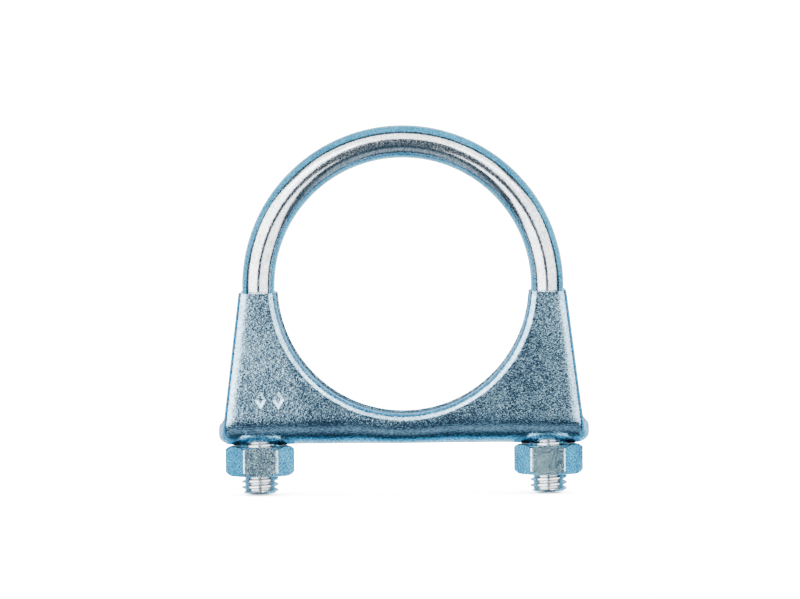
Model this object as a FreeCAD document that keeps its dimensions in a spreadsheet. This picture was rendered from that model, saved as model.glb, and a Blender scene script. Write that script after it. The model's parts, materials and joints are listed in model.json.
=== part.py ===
import FreeCAD, Part
import os
import re

import Sketcher

# An M8 U-bolt pipe clamp for a 54 mm pipe: a bent round rod with a thread on each leg, a pressed
# sheet-steel saddle that slides on the two legs, and a hexagon nut below the saddle on each leg.
# The origin is the pipe's axis, half way along the saddle. X runs across the clamp, Y along the pipe
# and Z up, so the closed end of the U is at the top and both studs point down.

SIZES = {
    # the bent rod
    "rod_diameter": 7.1,
    "leg_spacing": 61.9,
    "stud_end_drop": 44.2,
    # the M8 thread
    "thread_major": 7.9,
    "thread_root": 6.5,
    "thread_pitch": 1.25,
    "thread_length": 28.75,
    "thread_crest_flat": 0.16,
    "thread_play": 0.07,
    "thread_overrun": 0.1,
    "thread_top_land": 0.01,
    "stud_chamfer": 0.55,
    "thread_turns_below_nut": 3,
    "nut_thread_lead_turns": 1.5,
    # the nuts
    "nut_flats": 13.0,
    "nut_height": 6.4,
    "nut_corner_radius": 0.3,
    "nut_face_radius": 6.2,
    "nut_crown_drop": 1.5,
    "nut_crown_reach": 8.0,
    "nut_bore": 6.66,
    "nut_countersink": 8.3,
    "nut_turn_left": 4.0,
    "nut_turn_right": -2.0,
    # the saddle
    "pipe_diameter": 54.0,
    "sheet_thickness": 1.4,
    "saddle_depth": 16.0,
    "saddle_top_drop": 1.1,
    "saddle_base_drop": 33.6,
    "saddle_half_top": 35.0,
    "saddle_half_base": 39.0,
    "base_bend": 6.0,
    "rim_bend": 1.5,
    "rim_width": 4.1,
    "leg_corner_radius": 1.0,
    "end_wall_drop": 29.7,
    "end_lip_reach": 0.75,
    "end_lip_width": 7.0,
    "end_lip_round": 0.7,
    "end_lip_lift": 0.1,
    "stud_hole": 9.0,
    "nut_seat_length": 14.6,
    "nut_seat_width": 3.6,
    "nut_seat_rise": 0.35,
    # the stamped mark: one upright bar and two lozenges
    "mark_depth": 0.2,
    "mark_bar_x": -34.5,
    "mark_bar_width": 0.7,
    "mark_top_drop": 21.6,
    "mark_height": 4.4,
    "mark_bar_lower": 2.0,
    "mark_lozenge_x": -30.4,
    "mark_lozenge_step": 3.8,
    "mark_lozenge_width": 2.8,
    # how far a cutting shape runs on past the metal
    "cut_overshoot": 3.0,
}
MARK_LOZENGES = 2
HEXAGON_CORNERS = 6

doc = FreeCAD.newDocument("UBoltClamp")
sheet = doc.addObject("Spreadsheet::Sheet", "Sheet")
for row, (alias, value) in enumerate(SIZES.items(), start=1):
    sheet.set(f"A{row}", alias)
    sheet.set(f"B{row}", str(value))
    sheet.setAlias(f"B{row}", alias)
doc.recompute()


# ---- sketch and feature helpers -------------------------------------------------------------------


def sized(text):
    """An expression with the names of the sheet's cells written as FreeCAD needs them."""
    return re.sub(r"[a-z_]+", lambda word: "Sheet." + word[0] if word[0] in SIZES else word[0], text)


def number(text):
    """The value of an expression in the sheet's sizes."""
    return float(sheet.evalExpression(sized(text)))


def new_body(name):
    body = doc.addObject("PartDesign::Body", name)
    body.Label = name
    return body


def new_sketch(body, name, role, **offset):
    """A sketch on one of the body's own origin planes, moved by expressions for x, y and z."""
    sketch = body.newObject("Sketcher::SketchObject", name)
    plane = next(item for item in body.Origin.OriginFeatures if item.Role == role)
    sketch.AttachmentSupport = (plane, [""])
    sketch.MapMode = "FlatFace"
    for axis, text in offset.items():
        sketch.setExpression(f"AttachmentOffset.Base.{axis}", sized(text))
    return sketch


def hold(sketch, kind, geometry, point, text):
    """Bind one coordinate of a point, counted from the sketch's origin, to an expression."""
    index = sketch.addConstraint(Sketcher.Constraint(kind, -1, 1, geometry, point, number(text)))
    sketch.setExpression(f"Constraints[{index}]", sized(text))


def draw_circle(sketch, across, up, radius):
    centre = FreeCAD.Vector(number(across), number(up), 0)
    circle = sketch.addGeometry(Part.Circle(centre, FreeCAD.Vector(0, 0, 1), number(radius)))
    if across == "0" and up == "0":
        sketch.addConstraint(Sketcher.Constraint("Coincident", circle, 3, -1, 1))
    else:
        hold(sketch, "DistanceX", circle, 3, across)
        hold(sketch, "DistanceY", circle, 3, up)
    index = sketch.addConstraint(Sketcher.Constraint("Radius", circle, number(radius)))
    sketch.setExpression(f"Constraints[{index}]", sized(radius))


def draw_outline(sketch, corners, arc_after=None, arc_radius=None):
    """A closed outline through corners given as pairs of expressions.

    The side that leaves corner number arc_after is an arc of arc_radius about the sketch's origin,
    below it, and the ends of that arc take their X from the arc.
    """
    spots = [FreeCAD.Vector(number(across), number(up), 0) for across, up in corners]
    sides = []
    for index, spot in enumerate(spots):
        following = spots[(index + 1) % len(spots)]
        if index == arc_after:
            lowest = FreeCAD.Vector(0, -number(arc_radius), 0)
            sides.append(sketch.addGeometry(Part.Arc(spot, lowest, following)))
        else:
            sides.append(sketch.addGeometry(Part.LineSegment(spot, following)))
    starts = [1] * len(sides)
    if arc_after is not None:
        arc = sketch.Geometry[sides[arc_after]]
        if (arc.StartPoint - spots[arc_after]).Length > 1e-6:
            starts[arc_after] = 2
    for index, side in enumerate(sides):
        after = (index + 1) % len(sides)
        joint = Sketcher.Constraint("Coincident", side, 3 - starts[index], sides[after], starts[after])
        sketch.addConstraint(joint)
    if arc_after is not None:
        sketch.addConstraint(Sketcher.Constraint("Coincident", sides[arc_after], 3, -1, 1))
        index = sketch.addConstraint(Sketcher.Constraint("Radius", sides[arc_after], number(arc_radius)))
        sketch.setExpression(f"Constraints[{index}]", sized(arc_radius))
    for index, (across, up) in enumerate(corners):
        on_arc = arc_after is not None and index in (arc_after, (arc_after + 1) % len(corners))
        if not on_arc:
            hold(sketch, "DistanceX", sides[index], starts[index], across)
        hold(sketch, "DistanceY", sides[index], starts[index], up)


def new_feature(body, kind, name, profile, **sizes):
    """A PartDesign feature on a sketch, with its sizes bound to expressions."""
    feature = body.newObject(f"PartDesign::{kind}", name)
    feature.Profile = profile
    for size, text in sizes.items():
        feature.setExpression(size, sized(text))
    return feature


def both_ways(feature):
    """Make a pad or pocket reach half its length to each side of its sketch."""
    feature.SideType = "Symmetric"
    return feature


def edge_names(shape, wanted):
    """Names of the shape's edges for which wanted(edge) is true."""
    return [f"Edge{index}" for index, edge in enumerate(shape.Edges, start=1) if wanted(edge)]


def dress(body, kind, name, size_name, size, wanted):
    """A fillet or chamfer on the chosen edges of the body so far."""
    doc.recompute()
    base = body.Tip
    names = edge_names(base.Shape, wanted)
    if not names:
        raise RuntimeError(f"{name} found no edge")
    feature = body.newObject(f"PartDesign::{kind}", name)
    feature.Base = (base, names)
    feature.setExpression(size_name, sized(size))
    return feature


def near(value, target, within=1e-4):
    return abs(value - target) <= within


def cut_thread(body, name, profile):
    """Sweep a groove profile up a right-hand helix about the sketch's vertical axis."""
    groove = body.newObject("PartDesign::SubtractiveHelix", name)
    groove.Profile = profile
    groove.ReferenceAxis = (profile, ["V_Axis"])
    groove.Mode = "pitch-height-angle"
    groove.setExpression("Pitch", sized("thread_pitch"))
    groove.LeftHanded = False
    groove.Reversed = False
    return groove


# half the width of the thread's ridge at its crest, and the half width of the groove's floor
FLANK = "tan(30 deg)"
RIDGE_HALF = "thread_crest_flat / 2"
GROOVE_FLOOR_HALF = f"( thread_pitch / 2 - {RIDGE_HALF} - ( thread_major - thread_root ) / 2 * {FLANK} )"


# ---- the U-bolt -----------------------------------------------------------------------------------


def make_u_bolt():
    """A rod bent to a half circle with two straight legs, each ending in a rolled M8 thread."""
    body = new_body("u_bolt")

    route = new_sketch(body, "rod_route", "XZ_Plane")
    half = number("leg_spacing / 2")
    drop = number("stud_end_drop")
    left_foot = FreeCAD.Vector(-half, -drop, 0)
    left_top = FreeCAD.Vector(-half, 0, 0)
    crown = FreeCAD.Vector(0, half, 0)
    right_top = FreeCAD.Vector(half, 0, 0)
    right_foot = FreeCAD.Vector(half, -drop, 0)
    left = route.addGeometry(Part.LineSegment(left_foot, left_top))
    bend = route.addGeometry(Part.Arc(right_top, crown, left_top))
    right = route.addGeometry(Part.LineSegment(right_top, right_foot))
    route.addConstraint(Sketcher.Constraint("Coincident", bend, 3, -1, 1))
    route.addConstraint(Sketcher.Constraint("Tangent", bend, 2, left, 2))
    route.addConstraint(Sketcher.Constraint("Tangent", bend, 1, right, 1))
    route.addConstraint(Sketcher.Constraint("Vertical", left))
    route.addConstraint(Sketcher.Constraint("Vertical", right))
    index = route.addConstraint(Sketcher.Constraint("Radius", bend, half))
    route.setExpression(f"Constraints[{index}]", sized("leg_spacing / 2"))
    hold(route, "DistanceY", left, 1, "- stud_end_drop")
    hold(route, "DistanceY", right, 2, "- stud_end_drop")

    section = new_sketch(body, "rod_section", "XY_Plane", x="- leg_spacing / 2", z="- stud_end_drop")
    draw_circle(section, "0", "0", "rod_diameter / 2")
    rod = body.newObject("PartDesign::AdditivePipe", "rod")
    rod.Profile = section
    rod.Spine = (route, [])
    doc.recompute()

    for side, sign in (("left", "-"), ("right", "")):
        place = f"{sign} leg_spacing / 2"
        blank = new_sketch(body, f"{side}_thread_blank", "XY_Plane", x=place, z="- stud_end_drop")
        draw_circle(blank, "0", "0", "thread_major / 2")
        new_feature(body, "Pad", f"{side}_stud", blank, Length="thread_length")
    doc.recompute()

    foot = -drop
    crest = number("thread_major / 2")

    def is_stud_end(edge):
        round_edge = edge.Curve.TypeId == "Part::GeomCircle" and near(edge.Curve.Radius, crest)
        return round_edge and near(edge.Curve.Center.z, foot)

    def is_thread_top(edge):
        round_edge = edge.Curve.TypeId == "Part::GeomCircle" and near(edge.Curve.Radius, crest)
        return round_edge and near(edge.Curve.Center.z, foot + number("thread_length"))

    top_chamfer = "( thread_major - rod_diameter ) / 2 - thread_top_land"
    dress(body, "Chamfer", "stud_ends", "Size", "stud_chamfer", is_stud_end)
    dress(body, "Chamfer", "thread_tops", "Size", top_chamfer, is_thread_top)

    for side, sign in (("left", "-"), ("right", "")):
        place = f"{sign} leg_spacing / 2"
        start = "- stud_end_drop - thread_pitch"
        groove = new_sketch(body, f"{side}_groove", "XZ_Plane", x=place, y=start)
        outer = "thread_major / 2 + thread_overrun"
        outer_half = f"( {GROOVE_FLOOR_HALF} + ( {outer} - thread_root / 2 ) * {FLANK} )"
        draw_outline(groove, [
            ("thread_root / 2", f"- {GROOVE_FLOOR_HALF}"),
            (outer, f"- {outer_half}"),
            (outer, outer_half),
            ("thread_root / 2", GROOVE_FLOOR_HALF),
        ])
        thread = cut_thread(body, f"{side}_thread", groove)
        thread.setExpression("Height", sized("thread_length + thread_pitch"))
    return body


# ---- the nuts -------------------------------------------------------------------------------------


def make_nut(side, sign):
    """A hexagon nut with both faces crowned, its thread in mesh with the stud's."""
    body = new_body(f"nut_{side}")

    hexagon = new_sketch(body, f"{side}_hexagon", "XY_Plane")
    corners = []
    for corner in range(HEXAGON_CORNERS):
        angle = f"( {corner} * 360 deg / {HEXAGON_CORNERS} + nut_turn_{side} * 1 deg )"
        reach = "nut_flats / 2 / cos(30 deg)"
        corners.append((f"{reach} * cos{angle}", f"{reach} * sin{angle}"))
    draw_outline(hexagon, corners)
    new_feature(body, "Pad", f"{side}_blank", hexagon, Length="nut_height")

    def is_corner(edge):
        return edge.Curve.TypeId == "Part::GeomLine" and near(abs(edge.tangentAt(edge.FirstParameter).z), 1)

    dress(body, "Fillet", f"{side}_corners", "Radius", "nut_corner_radius", is_corner)

    crown = new_sketch(body, f"{side}_crown", "XZ_Plane")
    draw_outline(crown, [
        ("nut_face_radius", "nut_height"),
        ("nut_crown_reach", "nut_height - nut_crown_drop"),
        ("nut_crown_reach", "nut_height + cut_overshoot"),
        ("nut_face_radius", "nut_height + cut_overshoot"),
    ])
    foot = new_sketch(body, f"{side}_foot", "XZ_Plane")
    draw_outline(foot, [
        ("nut_face_radius", "- cut_overshoot"),
        ("nut_crown_reach", "- cut_overshoot"),
        ("nut_crown_reach", "nut_crown_drop"),
        ("nut_face_radius", "0"),
    ])
    for part, profile in (("crown", crown), ("foot", foot)):
        turned = body.newObject("PartDesign::Groove", f"{side}_{part}_turned")
        turned.Profile = profile
        turned.ReferenceAxis = (profile, ["V_Axis"])
        turned.Angle = 360

    bore = new_sketch(body, f"{side}_bore", "XY_Plane")
    draw_circle(bore, "0", "0", "nut_bore / 2")
    hole = new_feature(body, "Pocket", f"{side}_hole", bore, Length="2 * ( nut_height + cut_overshoot )")
    both_ways(hole)

    def is_mouth(edge):
        return edge.Curve.TypeId == "Part::GeomCircle" and near(edge.Curve.Radius, number("nut_bore / 2"))

    dress(body, "Chamfer", f"{side}_mouths", "Size", "( nut_countersink - nut_bore ) / 2", is_mouth)

    groove = new_sketch(body, f"{side}_nut_groove", "XZ_Plane", y="- nut_thread_lead_turns * thread_pitch")
    inner = "nut_bore / 2 - thread_overrun"
    outer = "thread_major / 2 + thread_play"
    inner_half = f"{RIDGE_HALF} + thread_play + ( thread_major / 2 - ( {inner} ) ) * {FLANK}"
    outer_half = f"{RIDGE_HALF} + thread_play - thread_play * {FLANK}"
    draw_outline(groove, [
        (inner, f"- ( {inner_half} )"),
        (outer, f"- ( {outer_half} )"),
        (outer, outer_half),
        (inner, inner_half),
    ])
    thread = cut_thread(body, f"{side}_nut_thread", groove)
    thread.setExpression("Height", sized("nut_height + 2 * nut_thread_lead_turns * thread_pitch"))

    body.setExpression("Placement.Base.x", sized(f"{sign} leg_spacing / 2"))
    body.setExpression("Placement.Base.z", sized("- stud_end_drop + thread_turns_below_nut * thread_pitch"))
    return body


# ---- the saddle -----------------------------------------------------------------------------------


def saddle_outline(sketch, inset, top):
    """The front view of the saddle, inset from its outer outline: a trapezoid less the pipe's circle."""
    slope = "( saddle_half_base - saddle_half_top ) / ( saddle_base_drop - saddle_top_drop )"
    run = f"sqrt( 1 + ( {slope} ) ^ 2 )"
    radius = f"pipe_diameter / 2 + {inset}"
    base = f"saddle_base_drop - {inset}"
    half_top = f"saddle_half_top + ( {top} - saddle_top_drop ) * {slope} - {inset} * {run}"
    half_base = f"saddle_half_top + ( {base} - saddle_top_drop ) * {slope} - {inset} * {run}"
    arc_half = f"sqrt( ( {radius} ) ^ 2 - ( {top} ) ^ 2 )"
    draw_outline(sketch, [
        (f"- ( {arc_half} )", f"- ( {top} )"),
        (arc_half, f"- ( {top} )"),
        (half_top, f"- ( {top} )"),
        (half_base, f"- ( {base} )"),
        (f"- ( {half_base} )", f"- ( {base} )"),
        (f"- ( {half_top} )", f"- ( {top} )"),
    ], arc_after=0, arc_radius=radius)


def make_saddle_core():
    """The hollow of the trough: the saddle's outline one sheet thickness in, open above the legs."""
    core = new_body("saddle_core")
    outline = new_sketch(core, "core_outline", "XZ_Plane")
    saddle_outline(outline, "sheet_thickness", "saddle_top_drop - cut_overshoot")
    depth = "saddle_depth - 2 * sheet_thickness"
    both_ways(new_feature(core, "Pad", "core_blank", outline, Length=depth))
    face = number("saddle_depth / 2 - sheet_thickness")
    base = -number("saddle_base_drop - sheet_thickness")

    def is_base_edge(edge):
        box = edge.BoundBox
        level = near(box.ZMin, base) and near(box.ZMax, base)
        return level and near(abs(box.YMin), face) and near(box.YMin, box.YMax)

    dress(core, "Fillet", "core_bends", "Radius", "base_bend - sheet_thickness", is_base_edge)
    return core


def make_saddle():
    """A deep trough pressed from sheet: two faces, a bent base, and rims turned in along the edges."""
    body = new_body("saddle")
    face = number("saddle_depth / 2")
    base = -number("saddle_base_drop")

    outline = new_sketch(body, "outline", "XZ_Plane")
    saddle_outline(outline, "0", "saddle_top_drop")
    both_ways(new_feature(body, "Pad", "blank", outline, Length="saddle_depth"))

    def on_face(edge):
        box = edge.BoundBox
        return near(abs(box.YMin), face) and near(box.YMin, box.YMax)

    def is_base_edge(edge):
        box = edge.BoundBox
        return on_face(edge) and near(box.ZMin, base) and near(box.ZMax, base)

    def is_leg_corner(edge):
        box = edge.BoundBox
        along_y = near(box.YLength, 2 * face)
        return along_y and near(box.ZMin, -number("saddle_top_drop"))

    def is_rim_edge(edge):
        box = edge.BoundBox
        return on_face(edge) and box.ZLength > number("base_bend")

    dress(body, "Fillet", "base_bends", "Radius", "base_bend", is_base_edge)
    dress(body, "Fillet", "leg_corners", "Radius", "leg_corner_radius", is_leg_corner)
    dress(body, "Fillet", "rim_bends", "Radius", "rim_bend", is_rim_edge)

    hollow = body.newObject("PartDesign::Boolean", "hollow")
    hollow.Type = "Cut"
    hollow.setObjects([make_saddle_core()])
    doc.recompute()

    gap = new_sketch(body, "rim_gap", "XZ_Plane")
    wide = "saddle_half_base + cut_overshoot"
    draw_outline(gap, [
        (f"- ( {wide} )", "- end_wall_drop"),
        (wide, "- end_wall_drop"),
        (wide, "cut_overshoot"),
        (f"- ( {wide} )", "cut_overshoot"),
    ])
    slot = new_feature(body, "Pocket", "rim_gap_cut", gap, Length="saddle_depth - 2 * rim_width")
    both_ways(slot)

    wall = new_sketch(body, "end_lips", "XZ_Plane")
    inner = "saddle_half_base - 2 * sheet_thickness"
    outer = "saddle_half_base + end_lip_reach"
    low = "- ( saddle_base_drop - end_lip_lift )"
    for sign in ("", "- "):
        draw_outline(wall, [
            (f"{sign}( {inner} )", low),
            (f"{sign}( {outer} )", low),
            (f"{sign}( {outer} )", "- end_wall_drop"),
            (f"{sign}( {inner} )", "- end_wall_drop"),
        ])
    both_ways(new_feature(body, "Pad", "end_lips_pad", wall, Length="end_lip_width"))
    lip_face = number("saddle_half_base + end_lip_reach")

    def is_lip_edge(edge):
        box = edge.BoundBox
        return near(abs(box.XMin), lip_face) and near(box.XMin, box.XMax)

    dress(body, "Fillet", "lip_rounds", "Radius", "end_lip_round", is_lip_edge)

    seats = new_sketch(body, "nut_seats", "XY_Plane", z="- saddle_base_drop - nut_seat_rise")
    for sign in ("", "- "):
        near_x = f"{sign}( leg_spacing / 2 - nut_seat_length / 2 )"
        far_x = f"{sign}( leg_spacing / 2 + nut_seat_length / 2 )"
        draw_outline(seats, [
            (near_x, "- nut_seat_width / 2"),
            (far_x, "- nut_seat_width / 2"),
            (far_x, "nut_seat_width / 2"),
            (near_x, "nut_seat_width / 2"),
        ])
    new_feature(body, "Pad", "nut_seats_pad", seats, Length="nut_seat_rise + sheet_thickness / 2")

    holes = new_sketch(body, "stud_holes", "XY_Plane", z="- saddle_base_drop - cut_overshoot")
    draw_circle(holes, "leg_spacing / 2", "0", "stud_hole / 2")
    draw_circle(holes, "- leg_spacing / 2", "0", "stud_hole / 2")
    drilled = new_feature(body, "Pocket", "stud_holes_cut", holes, Length="cut_overshoot + base_bend")
    drilled.Reversed = True

    mark = new_sketch(body, "mark", "XZ_Plane", z="saddle_depth / 2 - mark_depth")
    bar_top = "- mark_top_drop - mark_bar_lower"
    draw_outline(mark, [
        ("mark_bar_x - mark_bar_width / 2", f"{bar_top} - mark_height"),
        ("mark_bar_x + mark_bar_width / 2", f"{bar_top} - mark_height"),
        ("mark_bar_x + mark_bar_width / 2", bar_top),
        ("mark_bar_x - mark_bar_width / 2", bar_top),
    ])
    for step in range(MARK_LOZENGES):
        centre = f"( mark_lozenge_x + {step} * mark_lozenge_step )"
        middle = "- mark_top_drop - mark_height / 2"
        draw_outline(mark, [
            (f"{centre} - mark_lozenge_width / 2", middle),
            (centre, "- mark_top_drop - mark_height"),
            (f"{centre} + mark_lozenge_width / 2", middle),
            (centre, "- mark_top_drop"),
        ])
    stamped = new_feature(body, "Pocket", "mark_cut", mark, Length="mark_depth * 2")
    stamped.Reversed = True
    return body


bodies = [make_u_bolt(), make_saddle(), make_nut("left", "-"), make_nut("right", "")]
doc.recompute()

CUTTING_KINDS = ("Pocket", "Groove", "SubtractiveHelix", "Boolean")

for item in doc.Objects:
    if "Invalid" in item.State or "Error" in item.State:
        raise RuntimeError(f"{item.Name} is {item.State}")
    if item.TypeId.removeprefix("PartDesign::") in CUTTING_KINDS:
        if item.Shape.Volume >= item.BaseFeature.Shape.Volume:
            raise RuntimeError(f"{item.Name} cut nothing away")
for body in bodies:
    if body.Shape.isNull() or not body.Shape.isValid():
        raise RuntimeError(f"{body.Label} has no valid shape")

os.makedirs("parts", exist_ok=True)
for body in bodies:
    body.Shape.exportStep(f"parts/{body.Label}.step")
    print(body.Label, len(body.Shape.Solids), round(body.Shape.Volume, 1), len(body.Shape.Faces))
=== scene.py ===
import json
import math

import bmesh
import bpy
from mathutils import Matrix, Vector, noise


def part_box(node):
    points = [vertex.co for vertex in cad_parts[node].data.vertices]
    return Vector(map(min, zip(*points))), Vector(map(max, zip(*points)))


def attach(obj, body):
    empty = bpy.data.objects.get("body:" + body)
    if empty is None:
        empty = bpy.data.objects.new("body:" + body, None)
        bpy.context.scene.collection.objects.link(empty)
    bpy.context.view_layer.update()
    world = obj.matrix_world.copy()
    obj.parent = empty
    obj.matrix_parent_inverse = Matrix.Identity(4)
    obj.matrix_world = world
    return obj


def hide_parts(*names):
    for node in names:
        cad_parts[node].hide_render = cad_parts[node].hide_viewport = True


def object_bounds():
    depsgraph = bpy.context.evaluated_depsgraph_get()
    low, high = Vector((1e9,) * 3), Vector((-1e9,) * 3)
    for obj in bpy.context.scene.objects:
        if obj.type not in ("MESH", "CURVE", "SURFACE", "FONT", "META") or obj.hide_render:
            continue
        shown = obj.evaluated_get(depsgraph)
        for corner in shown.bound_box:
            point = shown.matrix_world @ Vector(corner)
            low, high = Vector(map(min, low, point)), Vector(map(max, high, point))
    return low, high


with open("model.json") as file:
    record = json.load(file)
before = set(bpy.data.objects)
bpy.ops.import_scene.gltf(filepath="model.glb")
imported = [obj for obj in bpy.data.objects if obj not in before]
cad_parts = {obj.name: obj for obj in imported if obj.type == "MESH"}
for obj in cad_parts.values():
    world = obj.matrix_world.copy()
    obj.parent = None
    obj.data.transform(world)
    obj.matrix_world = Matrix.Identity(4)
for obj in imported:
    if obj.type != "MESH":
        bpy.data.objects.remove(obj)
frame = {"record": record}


# ---- the studio -----------------------------------------------------------------------------------
# A wide pale floor just under the stud ends and a pale dome round it all. Bright metal shows what it
# reflects: soft white panels in front on both sides and overhead, and the cool blue of the room.

cad_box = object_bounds()
low, high = cad_box
MM = 0.001
FLOOR_DROP = 0.4 * MM
DOME_RADIUS = 6.0
DOME_GLOW = 30.0
FLOOR_ROUGHNESS = 0.9
PALE = (0.92, 0.92, 0.92, 1)
BLACK = (0, 0, 0, 1)
WHITE = (1, 1, 1, 1)


def backdrop(name, bm):
    """A backdrop that only the camera and matt surfaces see, and the sockets of its paint."""
    mesh = bpy.data.meshes.new(name)
    bm.to_mesh(mesh)
    bm.free()
    screen = bpy.data.objects.new(name, mesh)
    screen.visible_glossy = False
    screen.visible_shadow = False
    paint = bpy.data.materials.new(name + "_paint")
    paint.use_nodes = True
    paint.cycles.emission_sampling = "NONE"
    mesh.materials.append(paint)
    bpy.context.collection.objects.link(screen)
    return paint.node_tree.nodes["Principled BSDF"].inputs


bm = bmesh.new()
bmesh.ops.create_grid(bm, x_segments=1, y_segments=1, size=DOME_RADIUS)
bmesh.ops.translate(bm, vec=(0, 0, low.z - FLOOR_DROP), verts=bm.verts)
floor_paint = backdrop("floor", bm)
floor_paint["Base Color"].default_value = PALE
floor_paint["Roughness"].default_value = FLOOR_ROUGHNESS

bm = bmesh.new()
bmesh.ops.create_uvsphere(bm, u_segments=48, v_segments=24, radius=DOME_RADIUS)
dome_paint = backdrop("dome", bm)
dome_paint["Base Color"].default_value = BLACK
dome_paint["Specular IOR Level"].default_value = 0
dome_paint["Emission Color"].default_value = WHITE
dome_paint["Emission Strength"].default_value = DOME_GLOW


class Field:
    """A value over a surface, on which plain arithmetic adds the nodes that work it out."""

    def __init__(self, tree, socket=None):
        self.tree = tree
        self.socket = socket

    def node(self, kind, inputs=None, settings=None, output=0):
        """A node of this kind: its settings first, then the values or links of its sockets."""
        made = self.tree.nodes.new(kind)
        for key, value in (settings or {}).items():
            setattr(made, key, value)
        for key, value in (inputs or {}).items():
            if isinstance(value, Field):
                self.tree.links.new(value.socket, made.inputs[key])
            else:
                made.inputs[key].default_value = value
        return Field(self.tree, made.outputs[output])

    def math(self, operation, *values):
        return self.node("ShaderNodeMath", dict(enumerate(values)), {"operation": operation})

    def __add__(self, other):
        return self.math("ADD", self, other)

    def __radd__(self, other):
        return self.math("ADD", other, self)

    def __sub__(self, other):
        return self.math("SUBTRACT", self, other)

    def __rsub__(self, other):
        return self.math("SUBTRACT", other, self)

    def __mul__(self, other):
        return self.math("MULTIPLY", self, other)

    def __rmul__(self, other):
        return self.math("MULTIPLY", other, self)

    def __pow__(self, other):
        return self.math("POWER", self, other)

    def __abs__(self):
        return self.math("ABSOLUTE", self)

    def ramp(self, start, end):
        """0 up to start, 1 from end on, smooth between."""
        sockets = {"Value": self, "From Min": start, "From Max": end}
        return self.node("ShaderNodeMapRange", sockets, {"interpolation_type": "SMOOTHSTEP"})

    def mix(self, one, two):
        """From colour one to colour two as this value goes from 0 to 1."""
        return self.node("ShaderNodeMix", {0: self, 6: one, 7: two}, {"data_type": "RGBA"}, output=2)

    def axes(self):
        """The three parts of a vector."""
        split = self.node("ShaderNodeSeparateXYZ", {0: self})
        return [Field(self.tree, socket) for socket in split.socket.node.outputs]


# The room by direction: dim in front with a lighter band towards the floor, blue round the sides,
# and behind the clamp a bright ring about a grey wall. Each start and end is a part of a unit vector.
FRONT = (0.040, 0.085, 0.130, 1)
FLOOR_BAND = (0.42, 0.55, 0.66, 1)
SIDES = (0.16, 0.86, 1.38, 1)
BACK_RING = (1.1, 1.8, 2.2, 1)
BACK_WALL = (0.22, 0.28, 0.34, 1)
FLOOR_BAND_RISE = (-0.98, -0.88)
FLOOR_BAND_FALL = (-0.80, -0.62)
SIDES_FROM = (-0.01, 0.06)
SIDES_LEAN = 0.3
BACK_RING_FROM = (0.66, 0.72)
BACK_WALL_FROM = (0.92, 0.95)

world = bpy.data.worlds.new("room")
world.use_nodes = True
sky = Field(world.node_tree)
x, y, z = sky.node("ShaderNodeTexCoord").axes()
floor_band = z.ramp(*FLOOR_BAND_RISE) * (1 - z.ramp(*FLOOR_BAND_FALL))
beside = (y + z * SIDES_LEAN).ramp(*SIDES_FROM)
room = beside.mix(floor_band.mix(FRONT, FLOOR_BAND), SIDES)
room = y.ramp(*BACK_RING_FROM).mix(room, BACK_RING)
room = y.ramp(*BACK_WALL_FROM).mix(room, BACK_WALL)
surround = world.node_tree.nodes["Background"]
world.node_tree.links.new(room.socket, surround.inputs["Color"])
surround.inputs["Strength"].default_value = 1.0
world.cycles_visibility.diffuse = False
world.cycles_visibility.camera = False
bpy.context.scene.world = world

PANEL_AWAY = 0.9


def soft_panel(name, azimuth, elevation, width, height, watts):
    """A white panel that faces the clamp from a direction: azimuth 0 is in front, 90 to the right."""
    light = bpy.data.lights.new(name, "AREA")
    light.shape = "RECTANGLE"
    light.size = width
    light.size_y = height
    light.energy = watts
    panel = bpy.data.objects.new(name, light)
    a = math.radians(azimuth)
    e = math.radians(elevation)
    back = Vector((math.sin(a) * math.cos(e), -math.cos(a) * math.cos(e), math.sin(e)))
    panel.rotation_euler = back.to_track_quat("Z", "Y").to_euler()
    panel.location = back * PANEL_AWAY
    panel.visible_camera = False
    bpy.context.collection.objects.link(panel)


soft_panel("left_panel", azimuth=-39, elevation=4, width=1.0, height=1.0, watts=21.0)
soft_panel("right_panel", azimuth=39, elevation=4, width=1.0, height=1.0, watts=13.0)
soft_panel("top_panel", azimuth=0, elevation=39, width=1.2, height=0.58, watts=9.0)

CAMERA_AWAY = 1.0
CAMERA_LENS = 210.0
CAMERA_FILM = 36.0
CAMERA_SIGHT = 50.0
CAMERA_YAW = math.radians(0.8)
CAMERA_RISE = math.radians(2.0)
CAMERA_ROLL = math.radians(-0.5)
CAMERA_AIM = Vector((-0.6, 0, -2.9)) * MM

camera = bpy.data.objects.new("camera", bpy.data.cameras.new("camera"))
camera.data.lens = CAMERA_LENS
camera.data.sensor_width = CAMERA_FILM
camera.data.clip_end = CAMERA_SIGHT
across = math.sin(CAMERA_YAW) * math.cos(CAMERA_RISE)
along = -math.cos(CAMERA_YAW) * math.cos(CAMERA_RISE)
out = Vector((across, along, math.sin(CAMERA_RISE)))
turned = out.to_track_quat("Z", "Y").to_matrix().to_4x4() @ Matrix.Rotation(CAMERA_ROLL, 4, "Z")
camera.matrix_world = Matrix.Translation(CAMERA_AIM + out * CAMERA_AWAY) @ turned
bpy.context.collection.objects.link(camera)
bpy.context.scene.camera = camera


# ---- the bent rod ---------------------------------------------------------------------------------
# One zinc-plated steel rod, bent round a former to a half circle. Its legs end in rolled M8 threads,
# whose crests stand proud of the rod because rolling pushes the metal outwards.

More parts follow.
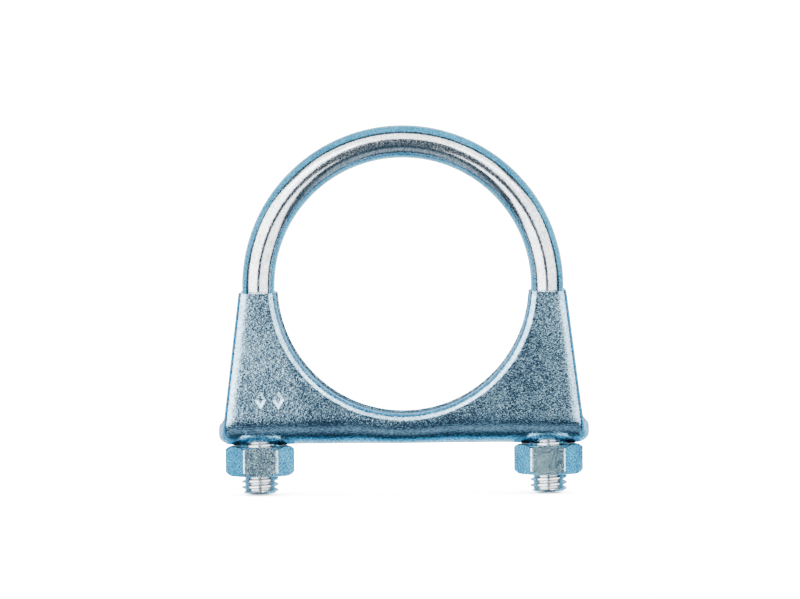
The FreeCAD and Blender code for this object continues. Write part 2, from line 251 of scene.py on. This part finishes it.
joints = {joint["name"]: joint for joint in frame["record"]["behaviour"]["joints"]}
LEG = joints["nut_right_turn"]["pos_m"][0]
rod_low, rod_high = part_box("u_bolt")
STUD_END = rod_low.z
ROD = rod_high.z - LEG
PITCH = 1.25 * MM
CREST = 3.95 * MM
ROOT = 3.25 * MM
THREAD_TOP = STUD_END + 28.75 * MM
THREAD_FADE = 1.6 * PITCH
THREAD_ROUNDING = 0.11 * MM
STUD_CHAMFER = 0.55 * MM
END_INSET = 0.5 * MM
END_HOLLOW = 0.05 * MM
ROD_SHARP = 35.0
TURN_STEPS = 48
BEND_STEPS = 96
LEG_STEPS = 6
JOIN = 0.4 * MM
TINY = 1e-6

# one pitch of the thread, as heights above the middle of a crest
CREST_EDGE = 0.1274 * MM
FLANK_TOP = 0.24 * MM
FLANK_FOOT = 0.375 * MM
ROOT_EDGE = 0.465 * MM


def finished(bm, name, sharp):
    """An object from a bmesh: smooth, with its corners of more than sharp degrees kept."""
    mesh = bpy.data.meshes.new(name)
    bm.to_mesh(mesh)
    bm.free()
    mesh.shade_smooth()
    mesh.set_sharp_from_angle(angle=math.radians(sharp))
    piece = bpy.data.objects.new(name, mesh)
    bpy.context.collection.objects.link(piece)
    return piece


def thread_wall(bm, x, base, top, crest, root):
    """A helical wall about the leg at x, from base up to top: the profile of one pitch, screwed upwards."""
    half = [
        (CREST_EDGE, crest),
        (FLANK_TOP, crest - THREAD_ROUNDING),
        (FLANK_FOOT, root + THREAD_ROUNDING),
        (ROOT_EDGE, root),
    ]
    profile = [(0, crest), *half, (PITCH / 2, root)]
    profile += [(PITCH - up, radius) for up, radius in reversed(half)] + [(PITCH, crest)]
    start = base - 1.5 * PITCH
    turns = math.ceil((top - start) / PITCH) + 1
    verts = [bm.verts.new((x + radius, 0, start + up)) for up, radius in profile]
    edges = [bm.edges.new(pair) for pair in zip(verts, verts[1:])]
    bmesh.ops.spin(
        bm, geom=verts + edges, cent=(x, 0, 0), axis=(0, 0, 1), dvec=(0, 0, PITCH / TURN_STEPS),
        angle=math.tau * turns, steps=TURN_STEPS * turns, use_merge=False)
    bmesh.ops.remove_doubles(bm, verts=bm.verts, dist=0.002 * MM)
    for height, keep_up in ((base, True), (top, False)):
        geom = [*bm.verts, *bm.edges, *bm.faces]
        bmesh.ops.bisect_plane(
            bm, geom=geom, plane_co=(0, 0, height), plane_no=(0, 0, 1),
            clear_inner=keep_up, clear_outer=not keep_up, dist=TINY / 10)


def ring_at(bm, height, x):
    """Boundary edges at one height round the leg at x."""
    return [
        edge for edge in bm.edges if edge.is_boundary
        and all(abs(v.co.z - height) < TINY and abs(v.co.x - x) < 2 * CREST for v in edge.verts)]


def make_stud(x):
    """One threaded stud: chamfered at its end, its thread fading into the rod above."""
    bm = bmesh.new()
    thread_wall(bm, x, STUD_END, THREAD_TOP, CREST, ROOT)
    for v in bm.verts:
        spoke = Vector((v.co.x - x, v.co.y))
        radius = spoke.length
        fade = min(1, (THREAD_TOP - v.co.z) / THREAD_FADE)
        wanted = ROD + (radius - ROD) * fade
        wanted = min(wanted, CREST - STUD_CHAMFER + (v.co.z - STUD_END))
        spoke *= wanted / radius
        v.co.x = x + spoke.x
        v.co.y = spoke.y
    end = bmesh.ops.holes_fill(bm, edges=ring_at(bm, STUD_END, x), sides=0)["faces"]
    bmesh.ops.inset_region(bm, faces=end, thickness=END_INSET, depth=END_HOLLOW)
    return bm


def joined(bms):
    """Several bmeshes as one."""
    whole = bmesh.new()
    for bm in bms:
        part = bpy.data.meshes.new("part")
        bm.to_mesh(part)
        bm.free()
        whole.from_mesh(part)
        bpy.data.meshes.remove(part)
    return whole


def straight_on(bm, rim, rise):
    """Run the rod's open end straight on by this rise, in even steps: the new end's edges and points."""
    for step in range(LEG_STEPS):
        grown = bmesh.ops.extrude_edge_only(bm, edges=rim)["geom"]
        rim = [g for g in grown if isinstance(g, bmesh.types.BMEdge)]
        points = [g for g in grown if isinstance(g, bmesh.types.BMVert)]
        bmesh.ops.translate(bm, vec=(0, 0, rise / LEG_STEPS), verts=points)
    return rim, points


bm = joined([make_stud(-LEG), make_stud(LEG)])
left_stud = ring_at(bm, THREAD_TOP, -LEG)
right_stud = ring_at(bm, THREAD_TOP, LEG)
circle = bmesh.ops.create_circle(
    bm, cap_ends=False, segments=TURN_STEPS, radius=ROD,
    matrix=Matrix.Translation((-LEG, 0, THREAD_TOP + JOIN)))["verts"]
left_end = list({edge for v in circle for edge in v.link_edges})
rim, points = straight_on(bm, left_end, -(THREAD_TOP + JOIN))
bent = bmesh.ops.spin(
    bm, geom=rim + points, cent=(0, 0, 0), axis=(0, 1, 0), angle=math.pi, steps=BEND_STEPS,
    use_merge=False)["geom_last"]
rim = [g for g in bent if isinstance(g, bmesh.types.BMEdge)]
right_end, points = straight_on(bm, rim, THREAD_TOP + JOIN)
bmesh.ops.bridge_loops(bm, edges=left_stud + left_end)
bmesh.ops.bridge_loops(bm, edges=right_stud + right_end)
bmesh.ops.recalc_face_normals(bm, faces=bm.faces)
rod = finished(bm, "bent_rod", ROD_SHARP)

# Every piece has a thin bright electroplated coat, which follows the metal under it: smooth on the
# drawn rod, with a fine sparkling grain on the rolled sheet, and satin on the forged nuts.
FLECK_SIZE = 0.34 * MM
CLOUD_SIZE = 3.5 * MM
PATCH_SIZE = 14 * MM
FLECK_SHARE = 0.7
CLOUD_SHARE = 0.15
PATCH_SHARE = 0.15
SHADE_FROM = (0.38, 0.62)
DULL = 0.50
BRIGHT = 1.5
FLECK_ROUGHNESS = 0.12
CLOUD_ROUGHNESS = 0.06
SCRATCH_SIZE = 0.4 * MM
SCRATCH_STRETCH = (0.35, 1.0, 0.05)
SCRATCH_FROM = (0.72, 0.78)
SCRATCH_ROUGHNESS = 0.05
SCRATCH_DEPTH = 0.0015 * MM
EVEN = (1, 1, 1)


def place_of(field, stretch):
    """The point on the piece, in its own coordinates, stretched along each axis."""
    point = field.node("ShaderNodeTexCoord", output=3)
    return field.node("ShaderNodeVectorMath", {0: point, 1: stretch}, {"operation": "MULTIPLY"})


def speckle(field, size, detail, rough, stretch=EVEN):
    """Cloudy noise whose lumps are about this size, from 0 to 1."""
    inputs = {"Vector": place_of(field, stretch), "Scale": 1 / size, "Detail": detail, "Roughness": rough}
    return field.node("ShaderNodeTexNoise", inputs)


def zinc_finish(name, tint, gloss, grain, flecks=EVEN, painted_light=None):
    """A zinc coat: its tint and roughness, how deep its grain is, and how its flecks are drawn out."""
    material = bpy.data.materials.new(name)
    material.use_nodes = True
    tree = material.node_tree
    shader = tree.nodes["Principled BSDF"]
    field = Field(tree)
    fine = speckle(field, FLECK_SIZE, 2.0, 0.6, flecks)
    clouds = speckle(field, CLOUD_SIZE, 3.0, 0.55)
    broad = speckle(field, PATCH_SIZE, 2.0, 0.5)
    scratch = speckle(field, SCRATCH_SIZE, 1.0, 0.5, SCRATCH_STRETCH).ramp(*SCRATCH_FROM)
    dull = tuple(DULL * part for part in tint)
    bright = tuple(min(1, BRIGHT * part) for part in tint)
    shade = (fine * FLECK_SHARE + clouds * CLOUD_SHARE + broad * PATCH_SHARE).ramp(*SHADE_FROM)
    colour = shade.mix((*dull, 1), (*bright, 1))
    rough = gloss + (fine - 0.5) * FLECK_ROUGHNESS + (clouds - 0.5) * CLOUD_ROUGHNESS
    rough = rough + scratch * SCRATCH_ROUGHNESS
    lift = fine * grain + clouds * grain * 0.5 - scratch * SCRATCH_DEPTH
    bump = field.node("ShaderNodeBump", {"Height": lift, "Distance": 1.0, "Strength": 1.0})
    # the hook for colour painted over the coat: on the rod, painted highlight on the thread crests and
    # painted shade in the roots
    if painted_light is not None:
        colour, rough = painted_light(field, colour, rough)
    tree.links.new(colour.socket, shader.inputs["Base Color"])
    tree.links.new(rough.socket, shader.inputs["Roughness"])
    tree.links.new(bump.socket, shader.inputs["Normal"])
    shader.inputs["Metallic"].default_value = 1.0
    return material


# Painted light on the threads: a grey painted shade in the roots and a near-white painted highlight on the
# crests, their strengths, the roughness each adds, and the margin over which they fade in.
ROOT_PAINTED_SHADE = (0.22, 0.25, 0.29, 1)
ROOT_SHADE_STRENGTH = 0.4
ROOT_ROUGHNESS = 0.12
CREST_PAINTED_HIGHLIGHT = (0.93, 0.95, 0.97, 1)
CREST_HIGHLIGHT_STRENGTH = 0.8
CREST_ROUGHNESS = 0.06
PAINTED_LIGHT_MARGIN = 0.1 * MM


def painted_thread_highlight_and_shade(field, colour, rough):
    """Painted light on the threads: the crests are coloured near white as a painted highlight, and the
    roots grey as painted shade.
    """
    x, y, z = field.node("ShaderNodeTexCoord", output=3).axes()
    radius = ((abs(x) - LEG) ** 2 + y * y) ** 0.5
    threaded = 1 - z.ramp(THREAD_TOP - PITCH, THREAD_TOP)
    depth = radius.ramp(ROOT + PAINTED_LIGHT_MARGIN, CREST - PAINTED_LIGHT_MARGIN)
    root = threaded * (1 - depth)
    crest = threaded * depth
    # painted shade in the thread roots, then a painted highlight on the crests
    colour = (root * ROOT_SHADE_STRENGTH).mix(colour, ROOT_PAINTED_SHADE)
    colour = (crest * CREST_HIGHLIGHT_STRENGTH).mix(colour, CREST_PAINTED_HIGHLIGHT)
    return colour, rough + root * ROOT_ROUGHNESS + crest * CREST_ROUGHNESS


# the rod's coat carries a painted highlight on the thread crests and painted shade in the roots
rod.data.materials.append(
    zinc_finish("rod_zinc", tint=(0.68, 0.78, 0.86), gloss=0.14, grain=0.006 * MM, painted_light=painted_thread_highlight_and_shade))
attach(rod, "u_bolt")
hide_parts("u_bolt")


# ---- the saddle -----------------------------------------------------------------------------------
# One pressing of sheet steel: two faces joined by a bent base, with the pipe's seat cut in both and a
# narrow rim turned in along the seat and down the sloping ends. The base ends curl out a little, and
# the two stud holes are punched through the base and into its bends.

saddle_low, saddle_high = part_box("saddle")
SEAT = frame["record"]["mounts"][0]["dims"]["r_mm"] * MM
SHEET = 1.4 * MM
FACE = saddle_high.y
BASE = 33.6 * MM
LEG_TOP = -saddle_high.z
HALF_TOP = 35.0 * MM
HALF_BASE = 39.0 * MM
LEAN = math.atan2(HALF_BASE - HALF_TOP, BASE - LEG_TOP)
RIM_BEND = 1.5 * MM
RIM_WIDTH = 4.1 * MM
BASE_BEND = 6.0 * MM
LEAST_FLAT = 0.35 * MM
BEND_EASING = 0.3 * MM
COLUMNS = 18
SEAT_COLUMNS = 14
BASE_ROWS = 2
BEND_ROWS = 4
FACE_ROWS = 6
ROWS = BASE_ROWS + BEND_ROWS + FACE_ROWS
RIM_BEND_ROWS = 3
SEAT_RIM_ROWS = 2
END_RIM_ROWS = 3
MERGE = 0.01 * MM


def half_width(z):
    """Half the flat width of the face at a height, up to where the end rims start to bend."""
    return HALF_TOP + (-z - LEG_TOP) * math.tan(LEAN) - RIM_BEND / math.cos(LEAN)


def base_bend_at(x):
    """The base's bend tightens under the seat, where the face is narrowest."""
    reach = SEAT + RIM_BEND
    room = BASE - LEAST_FLAT - math.sqrt(max(0, reach ** 2 - x ** 2)) if x < reach else BASE_BEND
    short = BASE_BEND - room
    return BASE_BEND - 0.5 * (short + math.sqrt(short ** 2 + BEND_EASING ** 2))


def pressed_point(s, row):
    """A point of a quarter of the outer skin, and the way into the metal there.

    s runs along the base from the middle to the end, and row from the middle of the base, round its
    bend and up the face.
    """
    bend = base_bend_at(s * half_width(-BASE))
    flat = FACE - bend
    if row <= BASE_ROWS:
        point = Vector((s * half_width(-BASE), -flat * row / BASE_ROWS, -BASE))
        return point, Vector((0, 0, 1))
    if row <= BASE_ROWS + BEND_ROWS:
        angle = math.pi / 2 * (row - BASE_ROWS) / BEND_ROWS
        z = -BASE + bend * (1 - math.cos(angle))
        point = Vector((s * half_width(z), -flat - bend * math.sin(angle), z))
        return point, Vector((0, math.sin(angle), math.cos(angle)))
    start = Vector((s * half_width(-BASE + bend), -FACE, -BASE + bend))
    seat_share = SEAT_COLUMNS / COLUMNS
    if s <= seat_share + TINY:
        top_angle = math.asin(LEG_TOP / (SEAT + RIM_BEND))
        angle = (math.pi / 2 - top_angle) * s / seat_share
        top = Vector((math.sin(angle), 0, -math.cos(angle))) * (SEAT + RIM_BEND)
    else:
        seat_end = math.sqrt((SEAT + RIM_BEND) ** 2 - LEG_TOP ** 2)
        share = (s - seat_share) / (1 - seat_share)
        top = Vector((seat_end + (half_width(-LEG_TOP) - seat_end) * share, 0, -LEG_TOP))
    top.y = -FACE
    share = (row - BASE_ROWS - BEND_ROWS) / FACE_ROWS
    return start.lerp(top, share), Vector((0, 1, 0))


# a unit square, laid over a quarter of the skin
bm = bmesh.new()
bmesh.ops.create_grid(bm, x_segments=COLUMNS, y_segments=ROWS, size=0.5)
inward = {}
seat_edge = set()
end_edge = set()
for v in bm.verts:
    s = v.co.x + 0.5
    row = round((v.co.y + 0.5) * ROWS)
    v.co, inward[v] = pressed_point(s, row)
    if row == ROWS and s < SEAT_COLUMNS / COLUMNS + TINY:
        seat_edge.add(v)
    if s > 1 - TINY:
        end_edge.add(v)


def grow_rim(bm, edge_verts, flange_rows, outwards, inwards):
    """Turn a rim in from an edge: a quarter bend, then a flat flange, row by row."""
    edges = [edge for edge in bm.edges if edge.is_boundary and all(v in edge_verts for v in edge.verts)]
    source = {v: (v.co.copy(), outwards(v), inwards(v)) for v in edge_verts}
    for step in range(1, RIM_BEND_ROWS + flange_rows + 1):
        grown = bmesh.ops.extrude_edge_only(bm, edges=edges)["geom"]
        new_verts = [g for g in grown if isinstance(g, bmesh.types.BMVert)]
        edges = [g for g in grown if isinstance(g, bmesh.types.BMEdge)]
        moved = {}
        for v in new_verts:
            below = next(edge.other_vert(v) for edge in v.link_edges if edge.other_vert(v) in source)
            point, away, into = source[below]
            angle = math.pi / 2 * min(1, step / RIM_BEND_ROWS)
            flange = (RIM_WIDTH - RIM_BEND) * max(0, step - RIM_BEND_ROWS) / flange_rows
            v.co = point + away * RIM_BEND * math.sin(angle)
            v.co += into * (RIM_BEND * (1 - math.cos(angle)) + flange)
            moved[v] = source[below]
        source = moved


def towards_pipe(v):
    return -Vector((v.co.x, 0, v.co.z)).normalized()


def off_the_end(v):
    return Vector((math.cos(LEAN), 0, math.sin(LEAN)))


grow_rim(bm, seat_edge, SEAT_RIM_ROWS, towards_pipe, lambda v: Vector((0, 1, 0)))
grow_rim(bm, end_edge, END_RIM_ROWS, off_the_end, lambda v: inward[v])

# the curl of the base ends: heights are shares of the rim's width, and it fades in and out over them
END_CURL = saddle_high.x - HALF_BASE
CURL_REACH = 1.6 * MM
CURL_INSET = 3.6 * MM
CURL_HEIGHT = 1.3
CURL_RISE = 0.3
CURL_FALL = 0.35
for v in bm.verts:
    rise = (v.co.z + BASE) / RIM_WIDTH
    middle = 1 - (abs(v.co.y) / (FACE - CURL_INSET)) ** 2
    if v.co.x > HALF_BASE - CURL_REACH and 0 < rise < CURL_HEIGHT and middle > 0:
        v.co.x += END_CURL * middle ** 0.5 * min(1, rise / CURL_RISE, (CURL_HEIGHT - rise) / CURL_FALL)

for axis in ("X", "Y"):
    geom = [*bm.verts, *bm.edges, *bm.faces]
    bmesh.ops.mirror(bm, geom=geom, matrix=Matrix(), merge_dist=MERGE, axis=axis)
bmesh.ops.remove_doubles(bm, verts=bm.verts, dist=MERGE)
bmesh.ops.recalc_face_normals(bm, faces=bm.faces)
lowest = min(bm.faces, key=lambda face: face.calc_center_median().z)
if lowest.normal.z > 0:
    bmesh.ops.reverse_faces(bm, faces=bm.faces)
SHEET_SHARP = 20.0
saddle = finished(bm, "pressed_saddle", SHEET_SHARP)


def applied(piece):
    """Work the piece's modifiers into its mesh, so that later cuts act on the real surface."""
    depsgraph = bpy.context.evaluated_depsgraph_get()
    mesh = bpy.data.meshes.new_from_object(piece.evaluated_get(depsgraph))
    piece.modifiers.clear()
    piece.data = mesh
    mesh.name = piece.name


EDGE_CREASE = 0.75
SMOOTHING = 2
shell = saddle.modifiers.new("sheet", "SOLIDIFY")
shell.thickness = SHEET
shell.offset = -1
shell.use_even_offset = True
shell.edge_crease_rim = EDGE_CREASE
shell.edge_crease_outer = EDGE_CREASE
shell.edge_crease_inner = EDGE_CREASE
smooth = saddle.modifiers.new("smooth", "SUBSURF")
smooth.levels = SMOOTHING
smooth.render_levels = SMOOTHING
applied(saddle)

# the nuts draw the base down a little round each hole, and the pressed faces are never quite flat
BULGE = -BASE - saddle_low.z
BULGE_ALONG = 6.5 * MM
BULGE_ACROSS = 3.4 * MM
BULGE_HEIGHT = 4 * MM
WAVE_SIZE = 9 * MM
WAVE_DEPTH = 0.008
bm = bmesh.new()
bm.from_mesh(saddle.data)
for v in bm.verts:
    beside = (abs(v.co.x) - LEG) / BULGE_ALONG
    if v.co.z < -BASE + BULGE_HEIGHT:
        v.co.z -= BULGE * math.exp(-beside ** 4 - (v.co.y / BULGE_ACROSS) ** 4)
    wave = 0.5 + 0.5 * noise.noise(v.co / WAVE_SIZE)
    v.co.y *= 1 - WAVE_DEPTH * wave
bm.to_mesh(saddle.data)
bm.free()


def cutter(name, bm):
    """A closed solid to be cut away."""
    bmesh.ops.recalc_face_normals(bm, faces=bm.faces)
    mesh = bpy.data.meshes.new(name)
    bm.to_mesh(mesh)
    bm.free()
    tool = bpy.data.objects.new(name, mesh)
    bpy.context.collection.objects.link(tool)
    return tool


def cut(piece, tool):
    """Cut the tool's shape out of the piece, and clear the tool away."""
    knife = piece.modifiers.new("cut", "BOOLEAN")
    knife.operation = "DIFFERENCE"
    knife.object = tool
    knife.solver = "EXACT"
    applied(piece)
    bpy.data.objects.remove(tool)


STUD_HOLE = 4.5 * MM
HOLE_STEPS = 72
PUNCH_LENGTH = 9 * MM
PUNCH_RISE = 1.5 * MM
bm = bmesh.new()
for x in (-LEG, LEG):
    bmesh.ops.create_cone(
        bm, cap_ends=True, segments=HOLE_STEPS, radius1=STUD_HOLE, radius2=STUD_HOLE,
        depth=PUNCH_LENGTH, matrix=Matrix.Translation((x, 0, -BASE + PUNCH_RISE)))
cut(saddle, cutter("stud_holes", bm))

# The stamped mark is an upright bar and two lozenges, each a pit with sloping walls. A stamp is given
# by its middle, its half sizes and its turn, and its floor and mouth by shares of the half sizes.
MARK_DEPTH = 0.3 * MM
MARK_FLOOR = 0.4
MARK_MOUTH = 1.6
BAR = (-34.5, -25.8, 0.9, 3.1, 45)
LEFT_LOZENGE = (-30.4, -23.8, 1.4, 2.2, 0)
RIGHT_LOZENGE = (-26.6, -23.8, 1.4, 2.2, 0)
QUARTER_TURN = math.radians(90)
bm = bmesh.new()
for x, z, half_wide, half_high, turn in (BAR, LEFT_LOZENGE, RIGHT_LOZENGE):
    place = Matrix.Translation((x * MM, -FACE, z * MM))
    stretch = Matrix.Diagonal((half_wide * MM, 1, half_high * MM, 1))
    upright = Matrix.Rotation(QUARTER_TURN, 4, "X") @ Matrix.Rotation(math.radians(turn), 4, "Z")
    bmesh.ops.create_cone(
        bm, cap_ends=True, segments=4, radius1=MARK_FLOOR, radius2=MARK_MOUTH, depth=2 * MARK_DEPTH,
        matrix=place @ stretch @ upright)
cut(saddle, cutter("mark", bm))
saddle.data.shade_smooth()
saddle.data.set_sharp_from_angle(angle=math.radians(SHEET_SHARP))
saddle.data.materials.clear()
saddle.data.materials.append(
    zinc_finish("sheet_zinc", tint=(0.35, 0.56, 0.78), gloss=0.15, grain=0.048 * MM, flecks=(0.6, 1, 1.3)))
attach(saddle, "saddle")
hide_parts("saddle")


# ---- the nuts -------------------------------------------------------------------------------------
# Two M8 hexagon nuts, cold forged and tapped. Both faces are crowned, which takes the corners off, the
# upright corners are slightly round, and each nut stopped at its own angle on its stud.

ACROSS_FLATS = 13.0 * MM
HALF_FLAT = 30
CORNER_RADIUS = ACROSS_FLATS / 2 / math.cos(math.radians(HALF_FLAT))
CORNER_ROUNDING = 0.3 * MM
CORNER_STEPS = 3
FLAT_CUTS = 15
SHORTEST_FLAT = 3 * MM
FACE_RADIUS = 6.2 * MM
FOOT_DROP = 1.05 * MM
HEAD_DROP = 0.75 * MM
CROWN_CURVE = 1.8
CROWN_SHARES = (0.7, 0.65, 0.5, 0)
MOUTH = 4.15 * MM
MOUTH_LAND = 0.3 * MM
NUT_BORE = 3.33 * MM
THREAD_PLAY = 0.07 * MM
NUT_SHARP = 24.0
nut_zinc = zinc_finish("nut_zinc", tint=(0.42, 0.64, 0.86), gloss=0.20, grain=0.009 * MM)


def ring_step(bm, edges, place):
    """Extrude a closed ring of edges and put each new vertex where place says."""
    grown = bmesh.ops.extrude_edge_only(bm, edges=edges)["geom"]
    for v in grown:
        if isinstance(v, bmesh.types.BMVert):
            v.co = place(v.co)
    return [g for g in grown if isinstance(g, bmesh.types.BMEdge)]


def make_nut(name, node, x, turn):
    """One nut on the leg at x: its threaded bore, its hexagon, and the two crowned faces between."""
    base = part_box(node)[0].z
    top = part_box(node)[1].z
    bm = bmesh.new()
    thread_wall(bm, x, base, top, CREST + THREAD_PLAY, NUT_BORE)
    for v in bm.verts:
        spoke = Vector((v.co.x - x, v.co.y))
        wanted = max(spoke.length, MOUTH - min(v.co.z - base, top - v.co.z))
        spoke *= wanted / spoke.length
        v.co.x = x + spoke.x
        v.co.y = spoke.y
    foot_mouth = ring_at(bm, base, x)
    head_mouth = ring_at(bm, top, x)

    angle = math.radians(turn + HALF_FLAT)
    place = Matrix.Translation((x, 0, base)) @ Matrix.Rotation(angle, 4, "Z")
    corners = bmesh.ops.create_circle(bm, cap_ends=False, segments=6, radius=CORNER_RADIUS, matrix=place)
    bmesh.ops.bevel(
        bm, geom=corners["verts"], offset=CORNER_ROUNDING, segments=CORNER_STEPS, profile=0.5,
        affect="VERTICES", material=-1)
    flats = [edge for edge in bm.edges if not edge.link_faces and edge.calc_length() > SHORTEST_FLAT]
    bmesh.ops.subdivide_edges(bm, edges=flats, cuts=FLAT_CUTS)
    outline = [edge for edge in bm.edges if not edge.link_faces]

    def radius_of(co):
        return math.hypot(co.x - x, co.y)

    def crowned(co, face, drop):
        """The height of the rounded crown that the face at this height has at this point."""
        share = max(0, radius_of(co) - FACE_RADIUS) / (CORNER_RADIUS - FACE_RADIUS)
        return face - drop * share ** CROWN_CURVE

    def to_radius(co, radius, z):
        scale = radius / radius_of(co)
        return Vector((x + (co.x - x) * scale, co.y * scale, z))

    for v in {v for edge in outline for v in edge.verts}:
        v.co.z = crowned(v.co, base, -FOOT_DROP)
    upper = ring_step(bm, outline, lambda co: Vector((co.x, co.y, crowned(co, top, HEAD_DROP))))
    foot = (outline, base, -FOOT_DROP, foot_mouth)
    head = (upper, top, HEAD_DROP, head_mouth)
    for ring, face, drop, mouth in (foot, head):
        for share in CROWN_SHARES:

            def inwards(co):
                moved = to_radius(co, FACE_RADIUS + (radius_of(co) - FACE_RADIUS) * share, face)
                moved.z = crowned(moved, face, drop)
                return moved

            ring = ring_step(bm, ring, inwards)
        # the ring stands off the face while it is bridged, so that both rings run the same way round
        stand_off = Vector((0, 0, math.copysign(MOUTH, face - (base + top) / 2)))
        ring = ring_step(bm, ring, lambda co: to_radius(co, MOUTH + MOUTH_LAND, face) + stand_off)
        bmesh.ops.bridge_loops(bm, edges=ring + mouth)
        bmesh.ops.translate(bm, vec=-stand_off, verts=list({v for edge in ring for v in edge.verts}))
    bmesh.ops.remove_doubles(bm, verts=bm.verts, dist=0.003 * MM)
    bmesh.ops.recalc_face_normals(bm, faces=bm.faces)
    nut = finished(bm, name, NUT_SHARP)
    nut.data.materials.append(nut_zinc)
    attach(nut, node)
    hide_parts(node)


make_nut("hexagon_nut_left", "nut_left", -LEG, turn=4.0)
make_nut("hexagon_nut_right", "nut_right", LEG, turn=-2.0)
